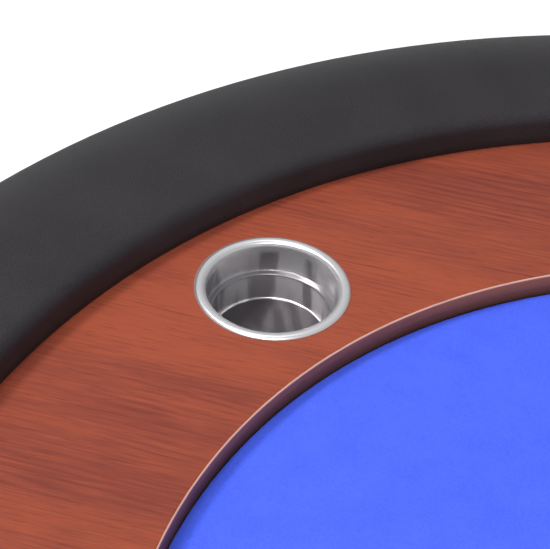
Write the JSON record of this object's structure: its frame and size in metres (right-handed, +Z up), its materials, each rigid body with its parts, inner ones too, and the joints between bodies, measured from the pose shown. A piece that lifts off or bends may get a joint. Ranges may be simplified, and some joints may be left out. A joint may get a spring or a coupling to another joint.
{
  "type": "poker table",
  "caption": "Oval card table with a sunk cloth playing area, veneered racetrack, drop-in steel cup holders, padded rail and folding legs.",
  "frame": {"origin": "on the floor under the middle of the top", "axes": "+X along the table's length, +Y across it towards the rear long side, +Z up"},
  "size_m": [2.0796, 1.06, 0.7803],
  "materials": {
    "blue_cloth": "speed cloth, fine weave",
    "racetrack_wood": "satin lacquered veneer",
    "edge_band": "satin lacquered",
    "rail_leather": "fine grained, satin",
    "cup_steel": "brushed, bright lip",
    "board": "raw board",
    "foam": "open cell foam",
    "leg_paint": "black powder coat",
    "zinc_plate": "zinc plated",
    "black_nylon": "moulded"
  },
  "bodies": {
    "table": {"base_board": "board", "racetrack_board": "racetrack_wood", "racetrack_edge_band": "edge_band", "felt_underlay": "foam", "felt": "blue_cloth", "rail_core": "board", "rail_foam": "foam", "rail_cover": "rail_leather", "rail_bolts": "zinc_plate", "rail_washers": "zinc_plate", "rail_tee_nuts": "zinc_plate", "racetrack_screws": "zinc_plate", "fitting_screws": "zinc_plate", "front_slat": "board", "rear_slat": "board", "leg_clips": "black_nylon", "right_cleat": "board", "right_brace_pads": "board", "right_hinge_bushes": "black_nylon", "right_hinge_straps": "zinc_plate", "right_brace_brackets": "zinc_plate", "right_anchor_rivets": "zinc_plate", "left_cleat": "board", "left_brace_pads": "board", "left_hinge_bushes": "black_nylon", "left_hinge_straps": "zinc_plate", "left_brace_brackets": "zinc_plate", "left_anchor_rivets": "zinc_plate"},
    "right_leg_frame": {"right_hinge_tube": "leg_paint", "right_hinge_tube_caps": "black_nylon", "right_front_post": "leg_paint", "right_rear_post": "leg_paint", "right_stretcher": "leg_paint", "right_feet": "black_nylon", "right_post_rivets": "zinc_plate"},
    "right_upper_brace": {"right_upper_arms": "zinc_plate", "right_knee_rivets": "zinc_plate"},
    "right_lower_brace": {"right_lower_arms": "zinc_plate", "right_knee_rivet_tails": "zinc_plate"},
    "left_leg_frame": {"left_hinge_tube": "leg_paint", "left_hinge_tube_caps": "black_nylon", "left_front_post": "leg_paint", "left_rear_post": "leg_paint", "left_stretcher": "leg_paint", "left_feet": "black_nylon", "left_post_rivets": "zinc_plate"},
    "left_upper_brace": {"left_upper_arms": "zinc_plate", "left_knee_rivets": "zinc_plate"},
    "left_lower_brace": {"left_lower_arms": "zinc_plate", "left_knee_rivet_tails": "zinc_plate"},
    "cup_1_holder": {"cup_1": "cup_steel"},
    "cup_2_holder": {"cup_2": "cup_steel"},
    "cup_3_holder": {"cup_3": "cup_steel"},
    "cup_4_holder": {"cup_4": "cup_steel"},
    "cup_5_holder": {"cup_5": "cup_steel"},
    "cup_6_holder": {"cup_6": "cup_steel"},
    "cup_7_holder": {"cup_7": "cup_steel"},
    "cup_8_holder": {"cup_8": "cup_steel"},
    "cup_9_holder": {"cup_9": "cup_steel"},
    "cup_10_holder": {"cup_10": "cup_steel"}
  },
  "joints": [
    {"name": "right_leg_fold", "type": "hinge", "parent": "table", "child": "right_leg_frame", "pos_m": [0.71955, 0, 0.6968], "axis": [0, 1, 0], "range_deg": [0, 90]},
    {"name": "right_upper_brace_swing", "type": "hinge", "parent": "table", "child": "right_upper_brace", "pos_m": [0.46955, 0, 0.6968], "axis": [0, -1, 0], "range_deg": [0, 41.35]},
    {"name": "right_lower_brace_swing", "type": "hinge", "parent": "right_leg_frame", "child": "right_lower_brace", "pos_m": [0.71955, 0, 0.4768], "axis": [0, 1, 0], "range_deg": [0, 48.65]},
    {"name": "left_leg_fold", "type": "hinge", "parent": "table", "child": "left_leg_frame", "pos_m": [-0.71955, 0, 0.6968], "axis": [0, -1, 0], "range_deg": [0, 90]},
    {"name": "left_upper_brace_swing", "type": "hinge", "parent": "table", "child": "left_upper_brace", "pos_m": [-0.46955, 0, 0.6968], "axis": [0, 1, 0], "range_deg": [0, 41.35]},
    {"name": "left_lower_brace_swing", "type": "hinge", "parent": "left_leg_frame", "child": "left_lower_brace", "pos_m": [-0.71955, 0, 0.4768], "axis": [0, -1, 0], "range_deg": [0, 48.65]},
    {"name": "cup_1_lift", "type": "slide", "parent": "table", "child": "cup_1_holder", "axis": [0, 0, 1], "range_m": [0, 0.08]},
    {"name": "cup_2_lift", "type": "slide", "parent": "table", "child": "cup_2_holder", "axis": [0, 0, 1], "range_m": [0, 0.08]},
    {"name": "cup_3_lift", "type": "slide", "parent": "table", "child": "cup_3_holder", "axis": [0, 0, 1], "range_m": [0, 0.08]},
    {"name": "cup_4_lift", "type": "slide", "parent": "table", "child": "cup_4_holder", "axis": [0, 0, 1], "range_m": [0, 0.08]},
    {"name": "cup_5_lift", "type": "slide", "parent": "table", "child": "cup_5_holder", "axis": [0, 0, 1], "range_m": [0, 0.08]},
    {"name": "cup_6_lift", "type": "slide", "parent": "table", "child": "cup_6_holder", "axis": [0, 0, 1], "range_m": [0, 0.08]},
    {"name": "cup_7_lift", "type": "slide", "parent": "table", "child": "cup_7_holder", "axis": [0, 0, 1], "range_m": [0, 0.08]},
    {"name": "cup_8_lift", "type": "slide", "parent": "table", "child": "cup_8_holder", "axis": [0, 0, 1], "range_m": [0, 0.08]},
    {"name": "cup_9_lift", "type": "slide", "parent": "table", "child": "cup_9_holder", "axis": [0, 0, 1], "range_m": [0, 0.08]},
    {"name": "cup_10_lift", "type": "slide", "parent": "table", "child": "cup_10_holder", "axis": [0, 0, 1], "range_m": [0, 0.08]}
  ],
  "couplings": [
    {"joint": "right_upper_brace_swing", "follows": "right_leg_fold", "ratio": 0.45942},
    {"joint": "right_lower_brace_swing", "follows": "right_leg_fold", "ratio": 0.54058},
    {"joint": "left_upper_brace_swing", "follows": "left_leg_fold", "ratio": 0.45942},
    {"joint": "left_lower_brace_swing", "follows": "left_leg_fold", "ratio": 0.54058}
  ]
}
